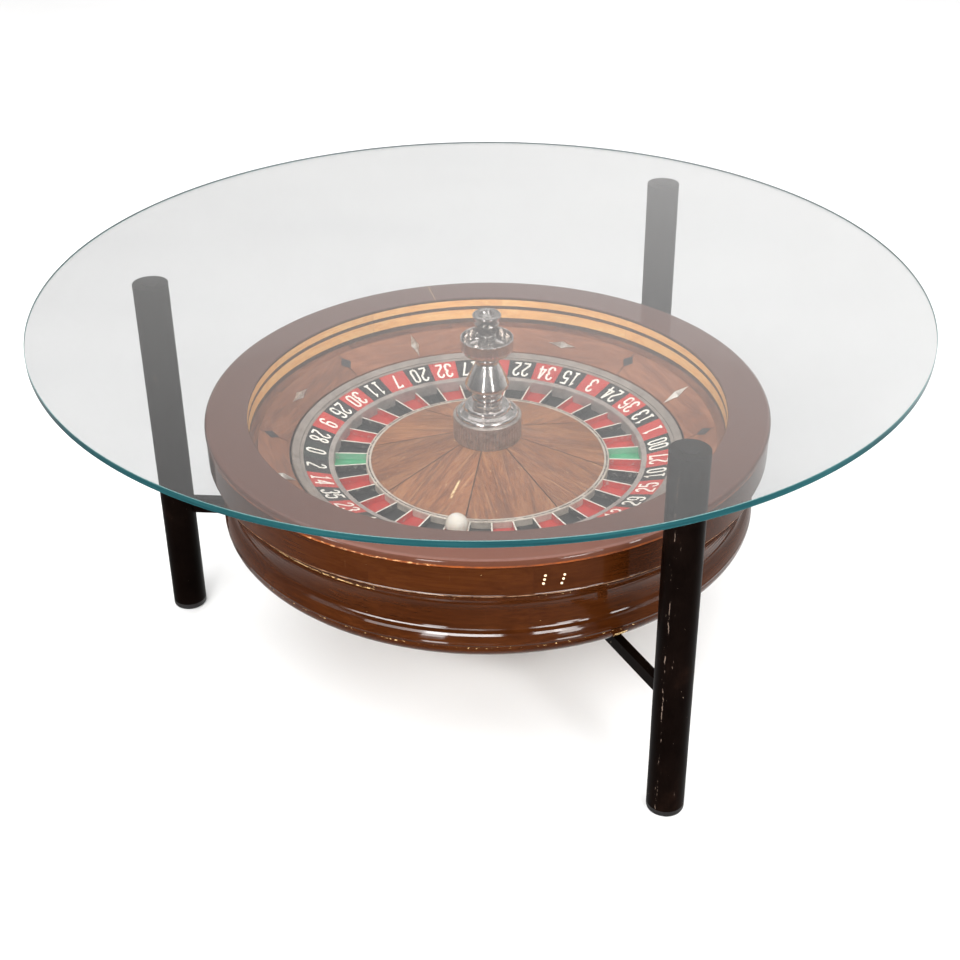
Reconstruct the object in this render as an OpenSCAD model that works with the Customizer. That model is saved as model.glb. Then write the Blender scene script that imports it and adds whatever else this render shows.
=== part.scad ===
// Roulette wheel mounted as a glass-topped low table.
// Millimetres, +Z up. The origin is on the floor, on the axis that the rotor turns about.

/* [Leg frame] */
// Diameter of the round leg tubes
leg_d = 50.8; // [40:0.1:60]
// Wall of the leg tubes
leg_wall = 2.5; // [1.5:0.5:5]
// Height of a leg with its foot and its top plug
leg_h = 549; // [520:1:600]
// Height of the rounded foot plug under each tube
foot_h = 10; // [6:1:20]
// Radius of the circle that the three leg axes stand on
leg_circle_r = 491; // [470:1:520]
// Bearing of each leg about the frame's centre, in degrees
leg_angles = [-63, 56, 176]; // [-180:1:180]
// How far the frame's centre lies off the wheel's axis, in X and Y
frame_shift = [12.5, 8.5]; // [-20:0.5:20]
// Width of the flat stretcher bars
bar_w = 12.7; // [10:0.1:20]
// Height of the flat stretcher bars
bar_h = 19; // [15:1:25]
// Height of the bars' upper face, which the wheel stands on
bar_top = 192.5; // [180:0.5:200]
// Radius of the round boss where the bars meet
boss_r = 42; // [35:1:60]

/* [Glass top] */
// Radius of the glass disc
glass_r = 616; // [560:1:650]
// Thickness of the glass disc
glass_t = 9.5; // [8:0.5:12]
// How far the loose disc lies off the wheel's axis, in X and Y
glass_shift = [-9, -8.5]; // [-20:0.5:20]
// Thickness of the clear pads that the glass lies on
pad_t = 1.5; // [1:0.5:3]

/* [Bowl] */
// Outer radius of the bowl at its rim
bowl_r = 406.4; // [400:0.2:410]
// Height of the bowl from its base board to the top of its rim
bowl_h = 190.5; // [190:0.5:192]
// Radius of the rim's inner edge
rim_in_r = 346; // [345:0.5:347]
// Radius of the round base board
base_r = 340; // [335:1:342]
// Thickness of the base board
base_t = 22; // [18:1:22]
// Number of stator panels and of dark diamond inlays
panel_count = 8; // [8:1:8]
// Length of a ball deflector
deflector_l = 46; // [30:1:47]
// Width of a ball deflector
deflector_w = 14; // [8:1:16]
// Height of a ball deflector
deflector_h = 7; // [4:1:10]

/* [Rotor] */
// Outer radius of the turning rotor
rotor_r = 287.5; // [280:0.5:288]
// Number of pockets and of number cells
pocket_count = 38; // [37:1:38]
// Bearing of the middle of the zero cell, in degrees
zero_angle = 181.6; // [0:0.1:360]
// Thickness of a fret between two pockets
fret_t = 2.2; // [1:0.1:2.4]
// Radius of the ball
ball_r = 16; // [9:0.5:16]
// Distance of the resting ball from the axis
ball_at_r = 197; // [197:0.5:204]
// Index of the pocket that the ball lies in, clockwise from the zero
ball_pocket = 30; // [0:1:37]

/* [Turret] */
// Radius of the fluted collar
collar_r = 49.6; // [46:0.2:54]
// Height of the fluted collar
collar_h = 37; // [28:1:40]
// Number of flutes around the collar
flute_count = 64; // [24:1:80]

/* [Hidden] */
$fn = 96;

// Heights, from the floor up
bowl_top = bar_top + bowl_h;
base_top = bar_top + base_t;
glass_bottom = leg_h + pad_t;
// The lower ring's underside and its seat for the stator
lower_ring_z = bar_top + 14.5;
stator_seat_z = bar_top + 97.5;
ring_joint_z = bar_top + 125.5;
rim_cap_z = bowl_top - 12;
// Levels of the four bands that line the rim's inner wall, from the top down
band_z = [bowl_top - 4.8, bowl_top - 16, bowl_top - 21.8, bowl_top - 37.4, bowl_top - 45];
band_t = 4;
lining_r = rim_in_r + band_t;
// The stator's sloping face, from its outer edge down to its inner edge
stator_out = [rim_in_r - 12, bowl_top - 48.5];
stator_in = [rotor_r + 3, bowl_top - 70];
veneer_t = 2.5;
seam = 0.5;
inlay_r = 317;
inlay_l = 24;
inlay_w = 20;
// First bearing of the deflectors, which stand half a panel from the inlays
deflector_angle = 22;
deflector_radius = 312.5;
// How deep the deflectors are let into the panels
recess_t = 0.6;
// The rotor's rings, from the outside in: radii and heights of their upper faces
trim_out_z = bowl_top - 70;
trim_r = rotor_r - 11.5;
number_out_r = 270.5;
number_in_r = 234.5;
number_out_z = trim_out_z - 6;
number_in_z = trim_out_z - 17.5;
number_trim_r = 275.5;
pocket_out_r = 226.5;
pocket_in_r = 180;
cone_out_r = 172.5;
pocket_floor_z = trim_out_z - 36.5;
tile_t = 1.5;
fret_top_z = pocket_floor_z + 10;
pocket_pitch = 360 / pocket_count;
rotor_bottom_z = trim_out_z - 51;
// Upper face of the rotor's base board, and its sloping underside's height at its edge
deck_z = pocket_floor_z - tile_t;
base_edge_z = rotor_bottom_z + 22 * (number_in_r - 200) / (rotor_r - 1.5 - 200);
// The cone that rises from the pockets to the turret
cone_foot = [cone_out_r, trim_out_z - 26];
cone_head = [collar_r - 2, bowl_top - 60];
collar_z = cone_head[1];
// Bearing of the first seam between the cone's panels
cone_seam_angle = 34.5;
// Spindle and bearings: a pair of 25 x 52 x 15 ball bearings
shaft_r = 12.5;
bearing_or = 26;
bearing_w = 15;
race_t = 4.5;
bearing_z = [rotor_bottom_z + 2, rotor_bottom_z + 30];
bearing_ball_r = 3.9;
bearing_ball_count = 9;
// Radius of the circle that the bearings' balls run on
ball_circle_r = (shaft_r + bearing_or) / 2;
housing_r = 34;
housing_top = collar_z - 5;
flange_top = base_top + 10;
stud_r = 5;

leg_r = leg_d / 2;
frame_c = [frame_shift[0], frame_shift[1], 0];

// Points along an arc about centre c, from angle a to angle b
function arc(c, r, a, b, n = 10) =
    [for (i = [0:n]) c + r * [cos(a + (b - a) * i / n), sin(a + (b - a) * i / n)]];
// Height of a straight line through points p and q at radius r
function line_z(p, q, r) = p[1] + (q[1] - p[1]) * (r - p[0]) / (q[0] - p[0]);
// Height of the stator's sloping face at radius r
function stator_z(r) = line_z(stator_in, stator_out, r);
// Bearing of the middle of cell i, which run clockwise from the zero
function cell_angle(i) = zero_angle - i * pocket_pitch;
// Colour of cell i: the two zeros are green and lie opposite each other, the rest alternate
function cell_colour(i) =
    i == 0 || i == 19 ? "green" :
    i < 19 ? (i % 2 == 1 ? "black" : "red") :
    (i % 2 == 0 ? "red" : "black");

// Places its children on the axis of leg i
module at_leg(i) {
    translate(frame_c + leg_circle_r * [cos(leg_angles[i]), sin(leg_angles[i]), 0]) children();
}

// Turns a half profile, given as points of radius and height, about the wheel's axis
module turned(points) {
    rotate_extrude() polygon(points);
}

// A flat ring between two radii and two heights
module ring(r_in, r_out, z_low, z_high) {
    turned([[r_in, z_low], [r_out, z_low], [r_out, z_high], [r_in, z_high]]);
}

// A sector of a turned profile, span degrees wide and centred on bearing a
module turned_sector(points, a, span) {
    rotate(a - span / 2) rotate_extrude(angle = span) polygon(points);
}

// ---- Leg frame ----

// One leg tube, open at both ends for its plugs
module leg_tube(i) {
    color("black") at_leg(i) translate([0, 0, foot_h]) difference() {
        cylinder(r = leg_r, h = leg_h - foot_h - 3);
        translate([0, 0, -1]) cylinder(r = leg_r - leg_wall, h = leg_h);
    }
}

// Flat discs with a spigot that close the tops of the legs
module leg_top_plugs() {
    color("black") for (i = [0:2]) at_leg(i) {
        translate([0, 0, leg_h - 3]) cylinder(r = leg_r, h = 3);
        translate([0, 0, leg_h - 15]) cylinder(r = leg_r - leg_wall, h = 12);
    }
}

// Rounded plugs that the legs stand on
module foot_plugs() {
    profile = concat(
        [[0, 0]],
        arc([leg_r - 4, 4], 4, -90, 0, 6),
        [[leg_r, foot_h], [leg_r - leg_wall, foot_h], [leg_r - leg_wall, foot_h + 14], [0, foot_h + 14]]
    );
    color("black") for (i = [0:2]) at_leg(i) turned(profile);
}

// Clear round pads between the legs and the glass
module glass_pads() {
    color("white") for (i = [0:2]) at_leg(i) translate([0, 0, leg_h]) cylinder(r = 12, h = pad_t);
}

// One flat bar on edge from the boss to its leg, cut to the tube's curve and drilled for its screw
module stretcher(i) {
    color("black") difference() {
        translate(frame_c) rotate(leg_angles[i])
            translate([boss_r - 3, -bar_w / 2, bar_top - bar_h])
            cube([leg_circle_r - boss_r - 15, bar_w, bar_h]);
        at_leg(i) cylinder(r = leg_r, h = leg_h);
        translate(frame_c) cylinder(r = boss_r, h = leg_h);
        at_screw(i) cylinder(r = 3, h = leg_h);
    }
}

// Places its children on the axis of the screw through bar i
module at_screw(i) {
    translate(frame_c) rotate(leg_angles[i]) translate([250, 0, 0]) children();
}

// Round boss that the three bars are welded to
module stretcher_boss() {
    color("black") difference() {
        translate(frame_c + [0, 0, bar_top - bar_h]) cylinder(r = boss_r, h = bar_h);
        translate([0, 0, bar_top - bar_h - 1]) cylinder(r = 6.5, h = bar_h + 2);
    }
}

// Pan-head screws from below, through the bars and into the base board
module stretcher_screws() {
    color("goldenrod") for (i = [0:2]) at_screw(i) {
        translate([0, 0, bar_top - bar_h - 3]) cylinder(r = 5.5, h = 3);
        translate([0, 0, bar_top - bar_h]) cylinder(r = 2.9, h = bar_h + 14);
    }
}

// Bolt from below, through the boss and the base board and into the spindle's foot
module centre_bolt() {
    color("silver") {
        translate([0, 0, bar_top - bar_h - 8]) cylinder(r = 10, h = 8, $fn = 6);
        translate([0, 0, bar_top - bar_h]) cylinder(r = 5.9, h = bar_h + base_t + 17);
    }
}

// ---- Glass top ----

// Loose round plate with small arrises along both edges
module glass_top() {
    a = 0.8;
    top = glass_bottom + glass_t;
    color("lightcyan") translate([glass_shift[0], glass_shift[1], 0]) turned([
        [0, glass_bottom], [glass_r - a, glass_bottom], [glass_r, glass_bottom + a],
        [glass_r, top - a], [glass_r - a, top], [0, top]
    ]);
}

// ---- Bowl ----

// Round board under the wheel, drilled for the bolt and the stretcher screws
module base_board() {
    color("sienna") difference() {
        translate([0, 0, bar_top]) cylinder(r = base_r, h = base_t);
        translate([0, 0, bar_top - 1]) cylinder(r = 6.5, h = base_t + 2);
        for (i = [0:2]) at_screw(i) translate([0, 0, bar_top - 1]) cylinder(r = 2.9, h = 15);
        for (k = [0:3]) at_flange_screw(k) translate([0, 0, base_top - 14]) cylinder(r = 2.9, h = 15);
    }
}

// Lower part of the bowl: a fat bead at the foot and a shallow cove above it
module lower_ring() {
    outside = concat(
        [[base_r, lower_ring_z], [bowl_r - 44, lower_ring_z], [bowl_r - 38, lower_ring_z + 3]],
        arc([bowl_r - 40.4, lower_ring_z + 31.5], 25, -75, 40, 16),
        arc([bowl_r - 18.9, lower_ring_z + 57], 9.5, 225, 172, 5),
        arc([bowl_r + 53.8, lower_ring_z + 61], 82, 180, 148, 8),
        [[bowl_r - 14, ring_joint_z]]
    );
    inside = [
        [lining_r, ring_joint_z], [lining_r, stator_seat_z], [lining_r - 28, stator_seat_z],
        [lining_r - 28, base_top], [base_r, base_top]
    ];
    color("saddlebrown") turned(concat(outside, inside));
}

// Upper part of the bowl: a plain drum with a rounded shoulder along its lower edge
module upper_ring() {
    face_r = bowl_r - 1;
    shoulder = concat(
        [[bowl_r - 14, ring_joint_z]],
        arc([bowl_r - 12, ring_joint_z + 2], 2, 180, 90, 3),
        arc([face_r - 9, ring_joint_z + 13], 9, -90, 0, 8)
    );
    color("saddlebrown") turned(concat(
        [[lining_r, ring_joint_z]], shoulder, [[face_r, rim_cap_z], [lining_r, rim_cap_z]]
    ));
}

// Flat top of the rim, with a rounded outer edge and a lip over the lining bands
module rim_cap() {
    edge_r = 6;
    color("saddlebrown") turned(concat(
        [[lining_r, rim_cap_z], [bowl_r - 1.5, rim_cap_z], [bowl_r, rim_cap_z + 1.5]],
        arc([bowl_r - edge_r, bowl_top - edge_r], edge_r, 0, 90, 8),
        [[rim_in_r + 1, bowl_top], [rim_in_r, bowl_top - 1], [rim_in_r, band_z[0]], [lining_r, band_z[0]]]
    ));
}

// One of the four bands that line the rim's inner wall, counted from the top
module lining_band(k) {
    ring(rim_in_r, lining_r, band_z[k + 1], band_z[k]);
}

module maple_bands() {
    color("burlywood") for (k = [0, 2]) lining_band(k);
}

module dark_bands() {
    color("dimgray") for (k = [1, 3]) lining_band(k);
}

// Hollowed ring that the ball runs in
module ball_track() {
    foot_z = stator_out[1] - 14;
    run = rim_in_r - stator_out[0];
    rise = band_z[4] - stator_out[1];
    hollow_r = (run * run + rise * rise) / (2 * rise);
    color("sienna") turned(concat(
        [[stator_out[0], foot_z], [lining_r, foot_z], [lining_r, band_z[4]]],
        arc(stator_out + [0, hollow_r], hollow_r, asin(run / hollow_r) - 90, -90, 6)
    ));
}

// ---- Stator ----

// Solid ring under the stator's panels
module stator_ring() {
    foot_z = stator_out[1] - 14;
    color("saddlebrown") turned([
        [stator_in[0], stator_seat_z], [lining_r, stator_seat_z], [lining_r, foot_z],
        [stator_out[0], foot_z], [stator_out[0], stator_out[1] - veneer_t],
        [stator_in[0], stator_in[1] - veneer_t]
    ]);
}

// Places its children on the stator's sloping face, at bearing a and radius r, with +X up the slope
module on_stator(a, r) {
    slope = atan2(stator_out[1] - stator_in[1], stator_out[0] - stator_in[0]);
    rotate(a) translate([r, 0, stator_z(r)]) rotate([0, -slope, 0]) children();
}

// A four-sided plate with the given long and short diagonals
module diamond(l, w, z_low, z_high) {
    translate([0, 0, z_low]) linear_extrude(z_high - z_low)
        polygon([[l / 2, 0], [0, w / 2], [-l / 2, 0], [0, -w / 2]]);
}

// Veneered panels with open seams between them and a recess for each inlay and deflector
module stator_panels() {
    face = [stator_in, stator_out, stator_out - [0, veneer_t], stator_in - [0, veneer_t]];
    pitch = 360 / panel_count;
    color("sienna") for (k = [0:panel_count - 1]) difference() {
        turned_sector(face, (k + 0.5) * pitch, pitch - seam / inlay_r * 57.3);
        for (s = [0, 1]) on_stator((k + s) * pitch, inlay_r) diamond(inlay_l, inlay_w, -6, 6);
        on_stator(deflector_angle + k * pitch, deflector_radius) rotate(90 * (k % 2))
            diamond(deflector_l, deflector_w, -recess_t, 6);
    }
}

// Dark diamonds let into the seams
module diamond_inlays() {
    color("black") for (k = [0:panel_count - 1])
        on_stator(k * 360 / panel_count, inlay_r) diamond(inlay_l, inlay_w, -1.8, 0.2);
}

// A ball deflector: a long low pyramid on a diamond foot
module deflector() {
    l = deflector_l / 2;
    w = deflector_w / 2;
    foot = 0.8;
    polyhedron(
        points = [
            [l, 0, -recess_t], [0, w, -recess_t], [-l, 0, -recess_t], [0, -w, -recess_t],
            [l, 0, foot], [0, w, foot], [-l, 0, foot], [0, -w, foot], [0, 0, deflector_h]
        ],
        faces = [
            [0, 1, 2, 3], [4, 5, 1, 0], [5, 6, 2, 1], [6, 7, 3, 2], [7, 4, 0, 3],
            [5, 4, 8], [6, 5, 8], [7, 6, 8], [4, 7, 8]
        ]
    );
}

// Four deflectors that point to the axis
module radial_deflectors() {
    color("silver") for (k = [0:3]) on_stator(deflector_angle + 90 * k, deflector_radius) deflector();
}

// Four deflectors that lie across the ball's way
module cross_deflectors() {
    color("silver") for (k = [0:3])
        on_stator(deflector_angle + 45 + 90 * k, deflector_radius) rotate(90) deflector();
}

// ---- Spindle ----

// Places its children on the axis of screw k in the spindle's flange
module at_flange_screw(k) {
    rotate(45 + 90 * k) translate([48, 0, 0]) children();
}

// Cast foot that carries the spindle
module spindle_flange() {
    color("dimgray") difference() {
        turned([
            [0, base_top], [62, base_top], [62, flange_top], [30, flange_top], [24, flange_top + 16],
            [0, flange_top + 16]
        ]);
        translate([0, 0, base_top - 1]) cylinder(r = 5.9, h = 19);
        translate([0, 0, base_top + 18]) cylinder(r = shaft_r, h = 30);
        for (k = [0:3]) at_flange_screw(k) translate([0, 0, base_top - 1]) cylinder(r = 3.2, h = 12);
    }
}

// Wood screws through the flange
module flange_screws() {
    color("silver") for (k = [0:3]) at_flange_screw(k) {
        translate([0, 0, flange_top]) cylinder(r = 6, h = 3);
        translate([0, 0, base_top - 13]) cylinder(r = 2.9, h = flange_top - base_top + 13);
    }
}

// Fixed steel shaft with a shoulder under the lower bearing and a thread for the nut
module spindle() {
    nut_z = bearing_z[1] + bearing_w;
    color("silver") turned([
        [0, base_top + 18], [shaft_r, base_top + 18], [shaft_r, flange_top + 16],
        [shaft_r + 4, flange_top + 16], [shaft_r + 4, bearing_z[0]], [shaft_r, bearing_z[0]],
        [shaft_r, nut_z], [7, nut_z], [7, nut_z + 9], [0, nut_z + 9]
    ]);
}

// Sleeve that holds the two inner races apart
module bearing_spacer() {
    color("silver") ring(shaft_r, shaft_r + 3, bearing_z[0] + bearing_w, bearing_z[1]);
}

module spindle_washer() {
    nut_z = bearing_z[1] + bearing_w;
    color("silver") ring(7, 16, nut_z, nut_z + 1.5);
}

module spindle_nut() {
    nut_z = bearing_z[1] + bearing_w + 1.5;
    color("silver") difference() {
        translate([0, 0, nut_z]) cylinder(r = 12, h = 6, $fn = 6);
        translate([0, 0, nut_z - 1]) cylinder(r = 7, h = 8);
    }
}

// A groove for the bearings' balls
module ball_groove(z) {
    rotate_extrude() translate([ball_circle_r, z + bearing_w / 2]) circle(r = bearing_ball_r + 0.1);
}

module bearing_inner_races() {
    color("silver") for (z = bearing_z) difference() {
        ring(shaft_r, shaft_r + race_t, z, z + bearing_w);
        ball_groove(z);
    }
}

module bearing_outer_races() {
    color("silver") for (z = bearing_z) difference() {
        ring(bearing_or - race_t, bearing_or, z, z + bearing_w);
        ball_groove(z);
    }
}

module bearing_balls() {
    color("white") for (z = bearing_z) for (k = [0:bearing_ball_count - 1])
        rotate(k * 360 / bearing_ball_count) translate([ball_circle_r, 0, z + bearing_w / 2])
        sphere(r = bearing_ball_r);
}

// ---- Rotor ----

// Places its children on the axis of screw k in the bearing housing's flange
module at_housing_screw(k) {
    rotate(90 * k) translate([50, 0, 0]) children();
}

// Flanged sleeve that holds the outer races in the rotor
module bearing_housing() {
    low = rotor_bottom_z;
    color("dimgray") difference() {
        turned([
            [bearing_or - 3, low], [60, low], [60, low + 8], [housing_r, low + 8],
            [housing_r, housing_top], [bearing_or - 3, housing_top],
            [bearing_or - 3, bearing_z[1] + bearing_w], [bearing_or, bearing_z[1] + bearing_w],
            [bearing_or, bearing_z[0]], [bearing_or - 3, bearing_z[0]]
        ]);
        for (k = [0:3]) at_housing_screw(k) translate([0, 0, low - 1]) cylinder(r = 2.9, h = 12);
    }
}

// Screws from below that hold the housing in the rotor
module housing_screws() {
    color("silver") for (k = [0:3]) at_housing_screw(k) {
        translate([0, 0, rotor_bottom_z - 3]) cylinder(r = 5, h = 3);
        translate([0, 0, rotor_bottom_z]) cylinder(r = 2.9, h = 20);
    }
}

// Holes that the housing's screws go up into
module housing_screw_holes() {
    for (k = [0:3]) at_housing_screw(k) translate([0, 0, rotor_bottom_z]) cylinder(r = 2.9, h = 20);
}

// Wooden board under the pockets, which the bearing housing is let into
module rotor_base() {
    low = rotor_bottom_z + 8;
    color("saddlebrown") difference() {
        turned([
            [housing_r, low], [60, low], [60, rotor_bottom_z], [200, rotor_bottom_z],
            [number_in_r, base_edge_z], [number_in_r, deck_z], [housing_r, deck_z]
        ]);
        housing_screw_holes();
    }
}

// Wooden ring outside the pockets, which carries the numbers
module rotor_rim() {
    rim_r = rotor_r - 1.5;
    color("saddlebrown") turned([
        [number_in_r, base_edge_z], [rim_r, rotor_bottom_z + 22], [rim_r, trim_out_z - 10],
        [trim_r, trim_out_z - 10], [trim_r, trim_out_z - 8], [number_trim_r, trim_out_z - 8],
        [number_trim_r, number_out_z - 4], [number_out_r, number_out_z - 4],
        [number_out_r, number_out_z - tile_t], [number_in_r, number_in_z - tile_t]
    ]);
}

// Turned wooden cone under the veneer
module rotor_cone() {
    color("saddlebrown") difference() {
        turned([
            [housing_r, deck_z], [cone_out_r, deck_z], cone_foot - [0, veneer_t],
            [cone_head[0], cone_head[1] - veneer_t], [housing_r, cone_head[1] - veneer_t]
        ]);
        housing_screw_holes();
    }
}

// Metal ring along the rotor's edge
module outer_trim_ring() {
    color("silver") turned([
        [trim_r, trim_out_z - 10], [rotor_r - 1.5, trim_out_z - 10], [rotor_r - 1.5, trim_out_z - 16],
        [rotor_r, trim_out_z - 16], [rotor_r, trim_out_z - 1.2], [rotor_r - 1.5, trim_out_z],
        [trim_r, trim_out_z - 4]
    ]);
}

// Thin metal ring outside the numbers
module number_trim_ring() {
    color("silver") turned([
        [number_out_r, number_out_z - 4], [number_trim_r, number_out_z - 4],
        [number_trim_r, number_out_z + 1], [number_out_r, number_out_z + 0.4]
    ]);
}

// The number cells of one colour, each a thin sector on the rotor's sloping band
module number_cells(colour) {
    face = [
        [number_in_r, number_in_z], [number_out_r, number_out_z],
        [number_out_r, number_out_z - tile_t], [number_in_r, number_in_z - tile_t]
    ];
    color(colour) for (i = [0:pocket_count - 1]) if (cell_colour(i) == colour)
        turned_sector(face, cell_angle(i), pocket_pitch);
}

// Metal ring that stands between the numbers and the pockets
module pocket_wall_ring() {
    low = pocket_floor_z - tile_t;
    color("silver") turned([
        [pocket_out_r, low], [number_in_r, low], [number_in_r, number_in_z],
        [pocket_out_r + 1, number_in_z - 0.8], [pocket_out_r, number_in_z - 2]
    ]);
}

// Thin upright blades between the pockets
module frets() {
    low = pocket_floor_z - tile_t;
    color("silver") intersection() {
        for (i = [0:pocket_count - 1]) rotate(cell_angle(i) + pocket_pitch / 2)
            translate([pocket_in_r - 5, -fret_t / 2, low]) cube([60, fret_t, fret_top_z - low]);
        ring(pocket_in_r, pocket_out_r, low, fret_top_z);
    }
}

// The pocket floors of one colour, each a thin tile between two frets
module pocket_tiles(colour) {
    low = pocket_floor_z - tile_t;
    half = pocket_pitch / 2;
    tile = [
        [pocket_in_r, low], [pocket_out_r, low],
        [pocket_out_r, pocket_floor_z], [pocket_in_r, pocket_floor_z]
    ];
    color(colour) for (i = [0:pocket_count - 1]) if (cell_colour(i) == colour) difference() {
        turned_sector(tile, cell_angle(i), pocket_pitch);
        for (s = [-1, 1]) rotate(cell_angle(i) + s * half)
            translate([pocket_in_r - 5, -fret_t / 2, low - 1]) cube([60, fret_t, tile_t + 2]);
    }
}

// Pale ring between the pockets and the cone, with a shallow groove along its top
module inner_trim_ring() {
    low = pocket_floor_z - tile_t;
    top = cone_foot[1] + 0.6;
    groove_r = pocket_in_r - 3.6;
    color("silver") turned([
        [cone_out_r, low], [pocket_in_r, low], [pocket_in_r, top - 1], [pocket_in_r - 0.8, top],
        [groove_r + 0.9, top], [groove_r + 0.5, top - 0.8], [groove_r - 0.5, top - 0.8],
        [groove_r - 0.9, top], [cone_out_r, top]
    ]);
}

// Veneered panels of the cone, with open seams between them
module cone_panels() {
    face = [cone_foot, cone_head, cone_head - [0, veneer_t], cone_foot - [0, veneer_t]];
    pitch = 360 / panel_count;
    color("sienna") for (k = [0:panel_count - 1])
        turned_sector(face, (k + 0.5) * pitch + cone_seam_angle, pitch - seam / 100 * 57.3);
}

// ---- Turret ----

// Steel plate on the housing that the turret is bolted to
module turret_plate() {
    color("silver") ring(stud_r, collar_r - 4, collar_z - veneer_t, collar_z + 2);
}

// Long stud that clamps the turret's pieces together
module turret_stud() {
    color("silver") translate([0, 0, collar_z - veneer_t]) cylinder(r = stud_r, h = 171);
}

// Collar with upright flutes and a smooth bead along its top
module turret_collar() {
    inner_r = collar_r - 4;
    top = collar_z + collar_h;
    color("silver") difference() {
        turned(concat(
            [[inner_r, collar_z], [collar_r - 0.8, collar_z]],
            [[collar_r, collar_z + 0.8], [collar_r, top - 4]],
            arc([collar_r - 1.5, top - 2], 2, -45, 90, 6),
            [[inner_r, top]]
        ));
        for (k = [0:flute_count - 1]) rotate(k * 360 / flute_count)
            translate([collar_r + 0.7, 0, collar_z - 1]) cylinder(r = 2, h = collar_h - 5, $fn = 24);
    }
}

// Bell-shaped foot of the turret: a rolled edge, a hollow, a fat bead and a small one
module turret_bell() {
    low = collar_z + collar_h - 6;
    color("silver") turned(concat(
        [[stud_r, low], [collar_r - 4, low]],
        arc([collar_r - 8.6, low + 7.5], 4.6, 0, 100, 8),
        [[38.2, low + 11.2]],
        arc([29, low + 17], 5.6, -30, 110, 9),
        [[24.6, low + 22.6]],
        arc([19.8, low + 24.2], 1.8, -60, 90, 5),
        [[stud_r, low + 26]]
    ));
}

// Pear-shaped body of the turret, on two beads and tapering to a beaded neck
module turret_body() {
    low = collar_z + collar_h + 20;
    color("silver") turned(concat(
        [[stud_r, low], [17.5, low], [18, low + 2.4]],
        arc([17.2, low + 7.5], 5.2, -60, 60, 7),
        [[19.2, low + 12.6]],
        arc([18.6, low + 17.2], 4.4, -60, 60, 7),
        arc([25.6, low + 29], 6.4, -100, 24, 10),
        [[28.4, low + 38.5], [22.7, low + 50.5], [17.3, low + 61], [16.4, low + 62.6]],
        arc([13.8, low + 68.6], 4.4, -60, 70, 7),
        [[14, low + 75.5], [stud_r, low + 75.5]]
    ));
}

// Deep cup above the body, with a rounded bottom, an upright wall and a beaded rim
module turret_dish() {
    low = collar_z + collar_h + 95.5;
    color("silver") turned(concat(
        [[stud_r, low], [17.5, low], [20, low + 1.2]],
        arc([28, low + 12.5], 9.8, -80, 0, 8),
        [[37.8, low + 25.4]],
        arc([36.8, low + 26], 1.2, 0, 180, 5),
        [[35.5, low + 21.5]],
        arc([27.5, low + 13], 8, 0, -80, 7),
        [[17, low + 4.5], [stud_r, low + 4.5]]
    ));
}

// Turned finial with a beaded stem, a flared head and a hollow top
module turret_finial() {
    low = collar_z + collar_h + 100;
    color("silver") turned(concat(
        [[stud_r, low], [13, low], [11.6, low + 4]],
        arc([10.6, low + 8.5], 2.1, -70, 70, 4),
        arc([10.6, low + 14], 2.1, -70, 70, 4),
        arc([10.6, low + 19.5], 2.1, -70, 70, 4),
        arc([10.4, low + 26], 3.2, -60, 60, 5),
        [[13.2, low + 31], [15.4, low + 38.5]],
        arc([14.6, low + 43], 2.8, -60, 70, 5),
        [[16.9, low + 47.5], [18.6, low + 52]],
        arc([17.7, low + 56.4], 2.6, -40, 90, 6),
        [[13.2, low + 58.4]],
        arc([11.8, low + 58.4], 1.4, 20, 160, 4),
        arc([0, low + 61.7], 11.4, -24, -90, 6),
        [[0, low + 38], [stud_r, low + 38]]
    ));
}

// ---- Ball ----

module ball() {
    color("ivory") rotate(cell_angle(ball_pocket)) translate([ball_at_r, 0, pocket_floor_z + ball_r])
        sphere(r = ball_r);
}

leg_tube(0);  // leg_front
leg_tube(1);  // leg_back
leg_tube(2);  // leg_left
leg_top_plugs();
foot_plugs();
glass_pads();
stretcher(0);  // stretcher_front
stretcher(1);  // stretcher_back
stretcher(2);  // stretcher_left
stretcher_boss();
stretcher_screws();
centre_bolt();
glass_top();
base_board();
lower_ring();
upper_ring();
rim_cap();
maple_bands();
dark_bands();
ball_track();
stator_ring();
stator_panels();
diamond_inlays();
radial_deflectors();
cross_deflectors();
spindle_flange();
flange_screws();
spindle();
bearing_spacer();
spindle_washer();
spindle_nut();
bearing_inner_races();
bearing_outer_races();
bearing_balls();
bearing_housing();
housing_screws();
rotor_base();
rotor_rim();
rotor_cone();
outer_trim_ring();
number_trim_ring();
number_cells("red");  // numbers_red
number_cells("black");  // numbers_black
number_cells("green");  // numbers_green
pocket_wall_ring();
frets();
pocket_tiles("red");  // pockets_red
pocket_tiles("black");  // pockets_black
pocket_tiles("green");  // pockets_green
inner_trim_ring();
cone_panels();
turret_plate();
turret_stud();
turret_collar();
turret_bell();
turret_body();
turret_dish();
turret_finial();
ball();
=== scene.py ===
"""Looks for a roulette wheel mounted as a glass-topped low table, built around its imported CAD."""

import math

import bmesh
import bpy
from mathutils import Matrix, Vector


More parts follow.
